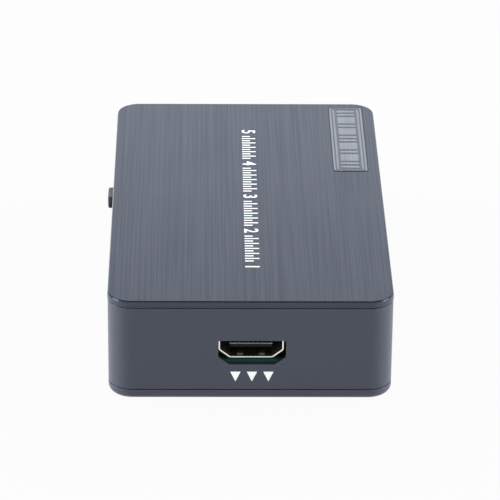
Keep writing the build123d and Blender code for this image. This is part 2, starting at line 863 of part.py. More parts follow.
crystal_x = left_parts_x + crystal_width / 2
crystal_y = controller_y + controller_length / 2 + chip_gap + crystal_length / 2
with BuildPart() as crystal:
    with BuildSketch(turned(crystal_x, crystal_y, board_top, 90)):
        SlotOverall(crystal_length, crystal_width)
    extrude(amount=crystal_flange)
    with BuildSketch(turned(crystal_x, crystal_y, board_top, 90)):
        SlotOverall(crystal_length - 2 * crystal_rim, crystal_width - 2 * crystal_rim)
    extrude(amount=crystal_height)
    fillet(crystal.faces().sort_by(Axis.Z)[-1].edges(), crystal_rim)
save(crystal, "crystal")

# Power supply beside the jack: regulator with its leads, and two upright capacitors
capacitor_x = jack_x + jack_width / 2 + part_gap + capacitor_radius
capacitor_y = case_length / 2 - jack_front - capacitor_radius - part_gap
capacitor_step = 2 * capacitor_radius + part_gap
regulator_x = jack_x
regulator_y = case_length / 2 - pin_base - jack_sheet - chip_gap - pin_reach - regulator_width / 2
with BuildPart() as regulator:
    chip_body(regulator_x, regulator_y, regulator_length, regulator_width, regulator_height)
    chamfer(regulator.faces().sort_by(Axis.Z)[-1].edges(), pin_sheet)
save(regulator, "regulator")

with BuildPart() as regulator_leads:
    rows = (
        (regulator_pin_count, regulator_pin_width, 270),
        (regulator_tab_count, regulator_tab_width, 90),
    )
    for count, width, angle in rows:
        pin_rows(
            regulator_x,
            regulator_y,
            regulator_width / 2,
            regulator_height,
            count,
            regulator_pin_pitch,
            width,
            (angle,),
        )
save(regulator_leads, "regulator_leads")

with BuildPart() as bulk_capacitors:
    for step in range(capacitor_count):
        place = (capacitor_x, capacitor_y - step * capacitor_step)
        groove = capacitor_height * capacitor_groove_share
        parts = (
            (0, groove, capacitor_radius),
            (groove, capacitor_groove, capacitor_radius - capacitor_groove),
            (groove + capacitor_groove, capacitor_height - groove - capacitor_groove, capacitor_radius),
        )
        for start, height, radius in parts:
            with BuildSketch(turned(*place, board_top + start, 0)):
                Circle(radius)
            extrude(amount=height)
    fillet(bulk_capacitors.edges().group_by(Axis.Z)[-1], capacitor_groove)
save(bulk_capacitors, "bulk_capacitors")

# Small chip parts behind every input
with BuildPart() as resistors:
    for place in input_places:
        with BuildSketch(turned(resistor_x, place, board_top, 0)):
            with GridLocations(0, resistor_pitch, 1, resistors_each):
                Rectangle(resistor_length, resistor_width)
        extrude(amount=resistor_height)
save(resistors, "resistors")

with BuildPart() as ceramic_capacitors:
    for place in input_places:
        with BuildSketch(turned(ceramic_x, place, board_top, 0)):
            with GridLocations(0, resistor_pitch, 1, ceramics_each):
                Rectangle(resistor_length, resistor_width)
        extrude(amount=ceramic_height)
save(ceramic_capacitors, "ceramic_capacitors")
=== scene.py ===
"""Looks of the video switch box: finishes, printed marks and smooth outer pieces around the CAD frame.

Lengths are in metres, in the frame that the CAD model has: +Z up, the output socket towards -Y,
the select button towards -X. The named sizes below repeat the part's own, in millimetres times MM.
"""
from math import cos, pi, radians, sin

import bmesh
import bpy
import numpy as np
from mathutils import Matrix, Vector
from mathutils.geometry import delaunay_2d_cdt


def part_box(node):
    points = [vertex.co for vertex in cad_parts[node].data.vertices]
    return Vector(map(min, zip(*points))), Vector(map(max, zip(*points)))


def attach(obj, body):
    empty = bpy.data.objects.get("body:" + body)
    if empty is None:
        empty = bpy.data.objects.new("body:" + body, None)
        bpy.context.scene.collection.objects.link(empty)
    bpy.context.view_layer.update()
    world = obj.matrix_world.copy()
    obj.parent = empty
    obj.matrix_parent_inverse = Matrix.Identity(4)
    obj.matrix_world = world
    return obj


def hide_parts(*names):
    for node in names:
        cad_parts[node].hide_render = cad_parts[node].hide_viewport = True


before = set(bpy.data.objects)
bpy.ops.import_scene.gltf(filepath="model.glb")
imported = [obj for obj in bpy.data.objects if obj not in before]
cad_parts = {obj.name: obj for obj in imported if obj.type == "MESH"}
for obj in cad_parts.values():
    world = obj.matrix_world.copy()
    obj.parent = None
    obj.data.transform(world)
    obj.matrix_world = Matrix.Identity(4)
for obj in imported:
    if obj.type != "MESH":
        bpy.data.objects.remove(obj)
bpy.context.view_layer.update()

MM = 0.001


# Shader tools. The numbers are places of outputs on the nodes Texture Coordinate and Light Path.

GENERATED, OBJECT = 0, 3
WHITE_RAYS = (0, 3, 6)


class Value:
    """A shader socket. Sums, differences and products of values add Math nodes."""

    def __init__(self, finish, socket):
        self.finish = finish
        self.socket = socket

    def __add__(self, other):
        return self.finish.math("ADD", self, other)

    def __radd__(self, other):
        return self.finish.math("ADD", other, self)

    def __sub__(self, other):
        return self.finish.math("SUBTRACT", self, other)

    def __rsub__(self, other):
        return self.finish.math("SUBTRACT", other, self)

    def __mul__(self, other):
        return self.finish.math("MULTIPLY", self, other)

    def __rmul__(self, other):
        return self.finish.math("MULTIPLY", other, self)


class Finish:
    """A material or world in the making. add() makes any node: its type, its settings, then its inputs."""

    def __init__(self, name, library="materials"):
        self.block = getattr(bpy.data, library).new(name)
        self.block.use_nodes = True
        self.tree = self.block.node_tree
        self.tree.nodes.clear()

    def add(self, kind, settings=None, inputs=None, output=0):
        node = self.tree.nodes.new("ShaderNode" + kind)
        for key, setting in (settings or {}).items():
            setattr(node, key, setting)
        for key, value in (inputs or {}).items():
            if isinstance(value, Value):
                self.tree.links.new(value.socket, node.inputs[key])
            else:
                node.inputs[key].default_value = value
        return Value(self, node.outputs[output]) if len(node.outputs) else None

    def math(self, operation, first, second):
        return self.add("Math", {"operation": operation}, {0: first, 1: second})

    def ramp(self, value, low, high):
        """0 below low, 1 above high, straight between them."""
        inputs = {"Value": value, "From Min": low, "From Max": high}
        return self.add("MapRange", {"clamp": True}, inputs)

    def mix(self, factor, first, second):
        """Colour between two colours."""
        colours = [c if isinstance(c, Value) else (*c, 1) for c in (first, second)]
        inputs = {0: factor, 6: colours[0], 7: colours[1]}
        return self.add("Mix", {"data_type": "RGBA"}, inputs, output=2)

    def place(self, scale, offset):
        """Object coordinates, shifted and then scaled to a number of features per metre."""
        where = self.add("TexCoord", output=OBJECT)
        shifted = self.add("VectorMath", {"operation": "ADD"}, {0: where, 1: offset})
        return self.add("VectorMath", {"operation": "MULTIPLY"}, {0: shifted, 1: scale})

    def noise(self, scale, detail=2.0, offset=(0, 0, 0)):
        """Soft noise of about 0 to 1, with its own number of features per metre on each axis."""
        inputs = {"Vector": self.place(scale, offset), "Scale": 1.0, "Detail": detail}
        return self.add("TexNoise", {"noise_dimensions": "3D"}, inputs)

    def axis(self, which):
        """One of the three object coordinates, in metres."""
        return self.add("SeparateXYZ", inputs={0: self.add("TexCoord", output=OBJECT)}, output=which)

    def shown_white(self):
        """1 for rays from the camera, from glossy reflections and through clear matter, 0 for the others."""
        camera, glossy, transmission = (self.add("LightPath", output=ray) for ray in WHITE_RAYS)
        return self.math("MINIMUM", camera + glossy + transmission, 1.0)

    def bump(self, height, depth, strength):
        """Normals of a relief that is depth metres high where the value is 1."""
        return self.add("Bump", inputs={"Height": height, "Distance": depth, "Strength": strength})

    def surface(self, **inputs):
        """Principled shader on the output: keyword names are the socket names with underscores."""
        named = {key.replace("_", " "): value for key, value in inputs.items()}
        return self.close(self.add("BsdfPrincipled", inputs=named))

    def close(self, shader, output="OutputMaterial"):
        """The finished material or world, with this shader as its surface."""
        self.add(output, inputs={"Surface": shader})
        return self.block


def scaled(colour, factor):
    """A colour, lighter or darker by one factor."""
    return tuple(channel * factor for channel in colour)


# Finishes

def brushed_lid():
    """Grey lacquer on brushed sheet: streaks of three widths run front to back on the flat top.

    The steepening edge is smooth and glossy: first a painted shade line, a near-black band that stands for
    the dark surroundings the edge reflects, then the colour of the case.
    """
    f = Finish("brushed_lid")
    streak_dark = (0.011, 0.019, 0.0385)
    streak_pale = (0.033, 0.043, 0.0655)
    # Painted shade: near-black for the line along the top of the steep edge.
    painted_shade_line = (0.018, 0.021, 0.034)
    edge_grey = (0.100, 0.108, 0.158)
    fine = f.noise((4600, 20, 1), 2.0)
    middle = f.noise((2300, 11, 1), 2.0, (0.3, 0.1, 0))
    broad = f.noise((700, 7, 1), 1.0, (0.7, 0.2, 0))
    top = f.ramp(f.axis(2), (lid_top - 0.08) * MM, (lid_top - 0.01) * MM)
    streaks = (fine * 0.44 + middle * 0.40 + broad * 0.16 - 0.5) * top
    contrast = f.ramp(streaks, -0.07, 0.07)
    brushed = f.mix(contrast, streak_dark, streak_pale)
    # Painted shade: just below the flat top the edge is coloured near-black, then the case colour further
    # down.
    rim = f.ramp(f.axis(2), (lid_top - 0.22) * MM, (lid_top - 0.38) * MM)
    colour = f.mix(top, f.mix(rim, painted_shade_line, edge_grey), brushed)
    wear = f.noise((90, 60, 40), 3.0)
    roughness = 0.12 + top * (0.29 + contrast * 0.09) + wear * 0.06
    normal = f.bump(streaks, 0.00006, 0.5)
    sheen = contrast * top * 0.17
    return f.surface(
        Base_Color=colour,
        Roughness=roughness,
        Specular_IOR_Level=0.20,
        Specular_Tint=(0.78, 0.90, 1.0, 1),
        Coat_Weight=sheen,
        Coat_Roughness=0.38,
        Normal=normal,
    )


def case_plastic():
    """Dark blue-grey moulded plastic with a very fine grain."""
    f = Finish("case_plastic")
    dark = (0.097, 0.105, 0.146)
    tone = f.noise((60, 60, 60), 3.0)
    grain = f.noise((5200, 5200, 5200), 2.0)
    colour = f.mix(tone, scaled(dark, 0.93), scaled(dark, 1.07))
    return f.surface(
        Base_Color=colour,
        Roughness=0.30 + tone * 0.06 + grain * 0.04,
        Specular_Tint=(0.80, 0.86, 1.0, 1),
        Normal=f.bump(grain, 0.00001, 0.3),
    )


def badge(name, pale):
    """Satin plate with the lid's streaks, finer and fainter."""
    f = Finish(name)
    streaks = f.noise((2600, 30, 1), 2.0)
    colour = f.mix(f.ramp(streaks, 0.35, 0.65), scaled(pale, 0.85), scaled(pale, 1.15))
    return f.surface(
        Base_Color=colour,
        Roughness=0.34 + streaks * 0.12,
        Specular_IOR_Level=0.18,
        Normal=f.bump(streaks, 0.00003, 0.4),
    )


def plain(name, colour, roughness, metallic=0.0, grain=900, variation=0.12, depth=0.00001):
    """A finish of one hue: soft changes of tone and gloss, and a fine relief, from one noise."""
    f = Finish(name)
    tone = f.noise((grain, grain, grain), 3.0)
    shade = f.mix(tone, scaled(colour, 1 - variation), scaled(colour, 1 + variation))
    gloss = roughness * (1 - variation) + tone * (roughness * 2 * variation)
    return f.surface(Base_Color=shade, Roughness=gloss, Metallic=metallic, Normal=f.bump(tone, depth, 0.5))


def board_edge():
    """Green laminate: a lighter core below a near-black top layer, told apart by height; the top layer is
    partly the dark mask and partly painted shade on the board's top, which lies in shadow inside the case.
    """
    f = Finish("board_green")
    tone = f.noise((300, 300, 300), 3.0)
    core = f.ramp(f.axis(2) + tone * 0.0001, (board_top - 0.35) * MM, (board_top - 0.75) * MM)
    # Partly painted shade: the near-black colour above the core stands for a dark mask in shadow.
    colour = f.mix(core, (0.003, 0.010, 0.008), (0.067, 0.34, 0.26))
    return f.surface(Base_Color=colour, Roughness=0.35 + tone * 0.1, Normal=f.bump(tone, 0.00001, 0.5))


def socket_black():
    """Black moulding with a painted highlight: a pale, partly metallic band along the top front edge of the
    contact tongue.
    """
    f = Finish("socket_black")
    tone = f.noise((900, 900, 900), 3.0)
    tongue_top = board_top + tongue_height
    # Painted highlight: a pale band just below the tongue's top edge, where that edge would catch the light.
    painted_highlight = f.ramp(f.axis(2), (tongue_top - 0.27) * MM, (tongue_top - 0.22) * MM)
    painted_highlight = painted_highlight * f.ramp(f.axis(2), (tongue_top - 0.07) * MM, (tongue_top - 0.12) * MM)
    colour = f.mix(painted_highlight, (0.006, 0.006, 0.007), (0.86, 0.88, 0.98))
    return f.surface(
        Base_Color=colour,
        Roughness=0.42 + tone * 0.1,
        Metallic=painted_highlight * 0.5,
        Specular_IOR_Level=0.2,
        Normal=f.bump(tone, 0.00001, 0.5),
    )


def plated_shell():
    """Bright plating, with painted shade behind the rim: inside the case it is coloured dark and made dull.
    """
    f = Finish("plated_shell")
    tone = f.noise((600, 600, 600), 3.0)
    # Painted shade: behind each socket's rim, inside the case, the plating is coloured dark brown-grey.
    inside = f.ramp(f.axis(0), (input_rim - 0.5) * MM, (input_rim - 0.9) * MM)
    inside = inside * f.ramp(f.axis(1), (output_rim + 0.5) * MM, (output_rim + 0.9) * MM)
    bright = f.mix(tone, (0.90, 0.87, 0.80), (0.96, 0.93, 0.86))
    colour = f.mix(inside, bright, (0.24, 0.22, 0.20))
    roughness = 0.22 + inside * 0.25 + tone * 0.02
    return f.surface(Base_Color=colour, Roughness=roughness, Metallic=1.0, Normal=f.bump(tone, 0.00001, 0.5))


def print_white():
    """Thick white ink, a little uneven, with painted light: a faint glow of its own keeps it full white."""
    f = Finish("print_white")
    cover = f.noise((1800, 1800, 1800), 2.0)
    colour = f.mix(cover, (0.88, 0.89, 0.91), (0.94, 0.95, 0.97))
    return f.surface(
        Base_Color=colour,
        Roughness=0.5 + cover * 0.1,
        # Painted light: the ink glows a little though it is no lamp.
        Emission_Color=(1, 1, 1, 1),
        Emission_Strength=0.55,
    )


# Surface tools. Outlines and rings are in millimetres, and a finished skin turns them into metres.

def box_mm(node):
    """Lowest corner, highest corner and middle of a CAD node, in millimetres."""
    low, high = (np.array(corner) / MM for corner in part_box(node))
    return low, high, (low + high) / 2


def rectangle(width, height, middle=(0, 0)):
    """Corners of a rectangle, turning left all the way round."""
    signs = np.array([(-1, -1), (1, -1), (1, 1), (-1, 1)])
    return np.array(middle) + signs * np.array((width, height)) / 2


def outline(corners, radius, grow=0.0, steps=8):
    """Convex outline with round corners, moved outwards by grow.

    Each corner is an arc about the point that lies radius inside both of its edges. A point of the
    arc is that centre plus (radius + grow) x a unit vector, which turns evenly from one edge's
    normal to the next's.
    """
    corners = np.asarray(corners, float)
    edges = np.roll(corners, -1, 0) - corners
    edges /= np.linalg.norm(edges, axis=1)[:, None]
    after = np.stack((edges[:, 1], -edges[:, 0]), 1)
    before = np.roll(after, 1, 0)
    along = (before * after).sum(1)
    across = before[:, 0] * after[:, 1] - before[:, 1] * after[:, 0]
    centres = corners - radius * (before + after) / (1 + along)[:, None]
    start = np.arctan2(before[:, 1], before[:, 0])
    angles = start[:, None] + np.arctan2(across, along)[:, None] * np.linspace(0, 1, steps + 1)
    arcs = np.stack((np.cos(angles), np.sin(angles)), 2) * (radius + grow)
    return (centres[:, None] + arcs).reshape(-1, 2)


def round_over(radius, steps=4):
    """Quarter round as pairs of inset and drop: radius x (1 - sine) and radius x (1 - cosine)."""
    angle = np.linspace(0, pi / 2, steps + 1)
    return list(zip(radius - radius * np.sin(angle), radius - radius * np.cos(angle)))


class Shape:
    """A convex outline on a side, that can be asked for at any grow."""

    def __init__(self, corners, radius, steps=8):
        self.corners, self.radius, self.steps = corners, radius, steps

    def at(self, grow=0.0):
        return outline(self.corners, self.radius, grow, self.steps)


class Side:
    """A flat side: own x to the right and own y up as seen from outside, depth outwards."""

    def __init__(self, origin, right, up):
        self.origin, self.right, self.up = (np.array(v, float) for v in (origin, right, up))
        self.out = np.cross(self.right, self.up)

    def of(self, point):
        """Own x and y of a point in space."""
        offset = point - self.origin
        return np.array((offset @ self.right, offset @ self.up))

    def depth(self, point):
        return (point - self.origin) @ self.out

    def at(self, points, depth=0.0):
        return self.origin + points[:, :1] * self.right + points[:, 1:] * self.up + depth * self.out

    def rings(self, shape, profile):
        """One ring for each pair of grow and depth."""
        return [self.at(shape.at(grow), depth) for grow, depth in profile]


class Skin:
    """Points and faces of one piece, gathered surface by surface."""

    def __init__(self):
        self.points = []
        self.faces = []
        self.count = 0

    def add(self, points, faces):
        self.points.append(np.asarray(points, float))
        self.faces += (np.asarray(faces) + self.count).tolist()
        self.count += len(points)

    def loft(self, rings, first_cap=False, last_cap=False, closed=True):
        """Quads between neighbouring rings of equal count; a cap is a fan about the ring's middle."""
        count = len(rings[0])
        step = np.arange(count if closed else count - 1)
        after = (step + 1) % count
        rows = np.arange(len(rings) - 1)[:, None] * count
        quads = np.stack((rows + step, rows + after, rows + count + after, rows + count + step), 2)
        self.add(np.concatenate(rings), quads.reshape(-1, 4))
        for wanted, ring in ((first_cap, rings[0]), (last_cap, rings[-1])):
            if wanted:
                fan = np.stack((step, after, np.full(count, count)), 1)
                self.add(np.concatenate((ring, ring.mean(0)[None])), fan)

    def fill(self, side, depth, outer, holes=()):
        """Triangles over a flat region: those inside the outer outline whose middle is in none of the holes.

        A middle is in a convex hole when it lies to the left of every edge of it.
        """
        loops = [outer, *holes]
        starts = np.cumsum([0] + [len(loop) for loop in loops])
        edges = [
            (int(start + i), int(start + (i + 1) % len(loop)))
            for start, loop in zip(starts, loops)
            for i in range(len(loop))
        ]
        flat = [Vector(point) for point in np.concatenate(loops).tolist()]
        points, _, faces, *_ = delaunay_2d_cdt(flat, edges, [], 1, 1e-5)
        points, faces = np.array([tuple(point) for point in points]), np.array(faces)
        middles = points[faces].mean(1)
        kept = np.ones(len(faces), bool)
        for hole in holes:
            ahead = np.roll(hole, -1, 0) - hole
            away = middles[:, None] - hole
            kept &= (ahead[:, 0] * away[..., 1] - ahead[:, 1] * away[..., 0] < 0).any(1)
        self.add(side.at(points, depth), faces[kept])

    def build(self, name, finish, body="case", replaces=(), slot=None):
        """One object: doubles merged, faces turned outwards, smooth where faces meet gently."""
        mesh = bpy.data.meshes.new(name)
        mesh.from_pydata((np.concatenate(self.points) * MM).tolist(), [], self.faces)
        shaped = bmesh.new()
        shaped.from_mesh(mesh)
        bmesh.ops.remove_doubles(shaped, verts=shaped.verts, dist=0.0005 * MM)
        bmesh.ops.recalc_face_normals(shaped, faces=shaped.faces)
        shaped.to_mesh(mesh)
        shaped.free()
        mesh.polygons.foreach_set("use_smooth", [True] * len(mesh.polygons))
        mesh.set_sharp_from_angle(angle=radians(35))
        mesh.materials.append(finish)
        return add_piece(name, mesh, body, replaces, True)


def add_piece(name, mesh, body="case", replaces=(), weighted=False):
    """Object on its body; the CAD nodes that it stands for are hidden."""
    piece = bpy.data.objects.new(name, mesh)
    bpy.context.scene.collection.objects.link(piece)
    if weighted:
        piece.modifiers.new("flat_faces_stay_flat", "WEIGHTED_NORMAL").keep_sharp = True
    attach(piece, body)
    if replaces:
        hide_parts(*replaces)
    return piece


# Sizes in millimetres and degrees: first those that no node's box gives, then what the boxes give

corner_radius = 5.5
corner_steps = 20
wall = 1.2
lid_edge_radii = (0.12, 0.8, 3.2)
lid_edge_tilts = (0, 57, 72, 88)
tongue_height = 3.35
cover_edge_radius = 1.7
seam_round = 0.12
seam_gap = 0.20
seam_depth = 1.0
edge_round = 0.12
lip_gap = 0.1
lip_thickness = 0.9
lip_depth = 1.8
cover_floor = 1.6
post_radius = 3.1
pilot_radius = 1.4
pilot_depth = 6.1
screw_head_radius = 2.3
head_recess_radius = 2.6
head_seat_height = 3.6
foot_radius = 4.0
foot_gap = 0.1
foot_recess = 0.5
foot_edge_radius = 0.3
foot_dimple_radius = 2.6
foot_dimple = 0.15
badge_gap = 0.05
badge_corner_radius = 0.6
badge_step = 0.07
badge_border = 0.5
badge_end_border = 0.35
badge_line_place = 1.1
badge_line_width = 0.5
badge_line_end = 0.9
badge_bar_width = 4.4
badge_bar_gap = 0.8
badge_bars = (1.2, 1.2, 4.0, 1.2, 4.0, 1.2, 1.2, 4.0, 1.2, 4.0, 1.2, 1.2)
cutout_round = 0.4
button_corner_radius = 0.9
button_edge_radius = 0.4
button_crown = 0.12
button_ear = 0.9
button_ear_sheet = 0.8
button_stem = (3.0, 1.8)
window_corner_radius = 0.6
window_flange = 0.6
lamp_radius = 1.5
lamp_flange_radius = 1.75
lamp_flange = 0.9
lamp_dome = 1.35
lamp_gap = 0.12
button_gap = 0.2
window_gap = 0.1
nose_gap = 0.15
nose_radius = 4.0
jack_axis_height = 5.8
cutout_heights = (-0.87, 0.93, 5.05)
cutout_halves = (7.6, 5.1)
output_offset = 0.35
print_lift = 0.02
number_line_x = 0.55
number_size = 4.6
number_height = 3.3
number_weight = 0.06
stroke_width = 0.5
stroke_pitch = 1.3
stroke_reach = 5
short_stroke = 0.6
arrow_size = (2.3, 2.44)
arrow_pitch = 3.7
arrow_level = 4.75

lid_low, lid_high, _ = box_mm("lid")
frame_low, frame_high, frame_middle = box_mm("body_frame")
cover_low = box_mm("bottom_cover")[0]
badge_low, badge_high, badge_middle = box_mm("badge_plate")
screws_low, screws_high, _ = box_mm("case_screws")
feet_low, feet_high, _ = box_mm("rubber_feet")
board_low, board_high, _ = box_mm("circuit_board")
button_low, button_high, button_middle = box_mm("select_button")
window_low, window_high, window_middle = box_mm("ir_window")
lamps_low, lamps_high, lamps_middle = box_mm("status_leds")
pin_middle = box_mm("dc_jack_pin")[2]
output_rim = box_mm("output_shell")[0][1]
input_rim = box_mm("input_1_shell")[1][0]

case_width, case_length = (frame_high - frame_low)[:2]
case_x = frame_middle[0]
cover_bottom, cover_top = cover_low[2], frame_low[2]
frame_top, lid_top = frame_high[2], lid_high[2]
floor_top = cover_bottom + cover_floor
board_bottom, board_top = board_low[2], board_high[2]
lid_overhang = frame_low[0] - lid_low[0]
lip_out = -(wall + lip_gap)
lip_in = lip_out - lip_thickness

ground = Side((case_x, 0, 0), (1, 0, 0), (0, 1, 0))
front = Side((case_x, frame_low[1], 0), (1, 0, 0), (0, 0, 1))
back = Side((case_x, frame_high[1], 0), (-1, 0, 0), (0, 0, 1))
right = Side((frame_high[0], 0, 0), (0, 1, 0), (0, 0, 1))
left = Side((frame_low[0], 0, 0), (0, -1, 0), (0, 0, 1))
case_shape = Shape(rectangle(case_width, case_length), corner_radius, corner_steps)


def round_shape(middle, radius, steps=10):
    """Circle: a square whose corners are quarter circles about its own middle."""
    return Shape(rectangle(2 * radius, 2 * radius, middle), radius, steps)


def turned(side, middle, profile, steps=10):
    """Rings about one axis, for pairs of radius and depth."""
    return side.rings(round_shape(middle, 1, steps), [(radius - 1, depth) for radius, depth in profile])


def four_places(low, high, radius):
    """Middles of the four round parts that fill a box to its corners."""
    half_x, half_y = ((high - low)[:2] / 2 - radius).tolist()
    return [(x * half_x, y * half_y) for x in (-1, 1) for y in (-1, 1)]


post_places = four_places(screws_low, screws_high, screw_head_radius)
foot_places = four_places(feet_low, feet_high, foot_radius)
input_places = [right.of(box_mm(f"input_{number}_shell")[2]) for number in range(1, 6)]
lamp_ends = left.of(lamps_high - lamp_flange_radius), left.of(lamps_low + lamp_flange_radius)
lamp_places = [(x, left.of(lamps_middle)[1]) for x in np.linspace(lamp_ends[0][0], lamp_ends[1][0], 5)]
button_size = (button_high - button_low)[1:] - (2 * button_ear, 0)
window_size = (window_high - window_low)[1:] - (2 * window_flange, 0)
jack_place = (back.of(pin_middle)[0], board_top + jack_axis_height)


# Finishes by the names of the CAD slots, and three that only new pieces have

FINISHES = {
    "brushed_lid": brushed_lid(),
    "badge": badge("badge", (0.078, 0.085, 0.100)),
    "case_plastic": case_plastic(),
    "foot_rubber": plain("foot_rubber", (0.012, 0.012, 0.013), 0.75, grain=1500, depth=0.00003),
    "screw_steel": plain("screw_steel", (0.32, 0.32, 0.33), 0.35, 1.0),
    "board_green": board_edge(),
    "plated_shell": plated_shell(),
    "socket_black": socket_black(),
    "contact_gold": plain("contact_gold", (0.72, 0.55, 0.30), 0.32, 1.0),
    "button_gloss": plain("button_gloss", (0.016, 0.020, 0.036), 0.50, grain=400, variation=0.06),
    "lamp_clear": plain("lamp_clear", (0.55, 0.58, 0.62), 0.12, grain=300, variation=0.05),
    "window_dark": plain("window_dark", (0.010, 0.004, 0.006), 0.10, grain=300, variation=0.05),
    "tinned_lead": plain("tinned_lead", (0.62, 0.62, 0.62), 0.32, 1.0),
    "capacitor_sleeve": plain("capacitor_sleeve", (0.02, 0.022, 0.05), 0.30),
    "ceramic_tan": plain("ceramic_tan", (0.34, 0.23, 0.13), 0.45),
}
# Painted shade: near-black for the linings of the openings, which lie in shadow; their plastic is the case's
# own.
PAINTED_SHADE = plain("painted_shade", (0.010, 0.011, 0.016), 0.45)
BADGE_PALE = badge("badge_pale", (0.255, 0.275, 0.31))
PRINT_WHITE = print_white()

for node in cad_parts.values():
    for place in node.material_slots:
        slot_name = place.material.name.split(".")[0]
        if slot_name in FINISHES:
            place.material = FINISHES[slot_name]


# Lid: plate with a rounded edge and the badge's recess, locating lip, and posts for the screws

def lid_edge():
    """Grow and depth from the flat top's rim down: arcs of growing radius, each between two tilts."""
    across, down = [0.0], [0.0]
    for radius, (start, end) in zip(lid_edge_radii, zip(lid_edge_tilts, lid_edge_tilts[1:])):
        angle = np.radians(np.linspace(start, end, 9))
        across += (across[-1] + radius * (np.sin(angle) - np.sin(angle[0])))[1:].tolist()
        down += (down[-1] + radius * (np.cos(angle[0]) - np.cos(angle)))[1:].tolist()
    return [(lid_overhang - across[-1] + x, lid_top - z) for x, z in zip(across, down)]


def make_lid():
    """Rings from the badge's recess over the top, down lid_edge and in to the lip; turned posts below."""
    skin = Skin()
    size = (badge_high - badge_low)[:2] + 2 * badge_gap
    recess = Shape(rectangle(*size, ground.of(badge_middle)), badge_corner_radius, corner_steps)
    rim = [(inset, lid_top - drop) for inset, drop in round_over(edge_round)]
    rings = ground.rings(recess, [(0, badge_low[2]), *rim[::-1]])
    profile = lid_edge()
    profile += [(lid_overhang - inset, frame_top + drop) for inset, drop in round_over(edge_round)[::-1]]
    lip_end = frame_top - lip_depth
    profile += [(lip_out, frame_top), (lip_out, lip_end), (lip_in, lip_end), (lip_in, frame_top)]
    skin.loft(rings + ground.rings(case_shape, profile), first_cap=True)
    posts = [round_shape(place, post_radius).at() for place in post_places]
    skin.fill(ground, frame_top, case_shape.at(lip_in), posts)
    post = [(post_radius, frame_top), (post_radius, board_top), (pilot_radius, board_top)]
    for place in post_places:
        skin.loft(turned(ground, place, post + [(pilot_radius, board_top + pilot_depth)]), last_cap=True)
    skin.build("lid_shell", FINISHES["brushed_lid"], replaces=("lid",), slot="brushed_lid")


# Frame: four walls with rounded openings, joined by round corners

def make_wall(skin, linings, side, reach, openings):
    """Outer and inner face of one wall, and the rim and lining of each opening through it."""
    middle = (0, (frame_top + cover_top) / 2)
    height = frame_top - cover_top
    outer_middle = (0, middle[1] - seam_gap / 2)
    outer = rectangle(reach, height - seam_gap - 2 * seam_round, outer_middle)
    skin.fill(side, 0, outer, [opening.at(edge_round) for opening in openings])
    skin.fill(side, -wall, rectangle(reach, height, middle), [opening.at() for opening in openings])
    for opening in openings:
        skin.loft(side.rings(opening, [(inset, -drop) for inset, drop in round_over(edge_round)]))
        # The lining goes to a piece of its own, finished in near-black painted shade.
        linings.loft(side.rings(opening, [(0, -edge_round), (0, -wall)]))


def socket_opening(x):
    """Opening around a socket: straight sides down to a bend, then slopes to a narrower floor."""
    floor, bend, roof = (board_top + height for height in cutout_heights)
    half, half_floor = cutout_halves
    corners = [(-half_floor, floor), (half_floor, floor), (half, bend)]
    corners += [(half, roof), (-half, roof), (-half, bend)]
    return Shape(np.array(corners) + (x, 0), cutout_round, 6)


def grown(size, middle, radius, gap):
    """Rounded rectangle that leaves an even gap around another one."""
    return Shape(rectangle(*(size + 2 * gap), middle), radius + gap)


def make_frame():
    """Four walls, arcs of 90 degrees between them, and rims whose steps and quarter rounds make the seams."""
    skin, linings = Skin(), Skin()
    jack = round_shape(jack_place, nose_radius + nose_gap, 16)
    inputs = [socket_opening(place[0]) for place in input_places]
    button = grown(button_size, left.of(button_middle), button_corner_radius, button_gap)
    window = grown(window_size, left.of(window_middle), window_corner_radius, window_gap)
    lamps = [round_shape(place, lamp_radius + lamp_gap) for place in lamp_places]
    long_reach, short_reach = case_length - 2 * corner_radius, case_width - 2 * corner_radius
    make_wall(skin, linings, front, short_reach, [socket_opening(output_offset)])
    make_wall(skin, linings, back, short_reach, [jack])
    make_wall(skin, linings, right, long_reach, inputs)
    make_wall(skin, linings, left, long_reach, [button, window, *lamps])
    ledge = frame_top - seam_gap
    for grow, low, high in ((0, cover_top + seam_round, ledge - seam_round), (-wall, cover_top, frame_top)):
        for arc in case_shape.at(grow).reshape(4, -1, 2):
            skin.loft([ground.at(arc, low), ground.at(arc, high)], closed=False)
    upper = [(-wall, frame_top), (-seam_depth, frame_top), (-seam_depth, ledge)]
    upper += [(-inset, ledge - drop) for inset, drop in round_over(seam_round)]
    lower = [(-wall, cover_top)] + [(-inset, cover_top + drop) for inset, drop in round_over(seam_round)]
    for rim in (upper, lower):
        skin.loft(ground.rings(case_shape, rim))
    skin.build("frame_shell", FINISHES["case_plastic"], replaces=("body_frame",), slot="case_plastic")
    linings.build("opening_linings", PAINTED_SHADE, slot="case_plastic")


# Bottom cover: tray with a rounded edge, a locating lip, standoffs, and recesses for feet and screws

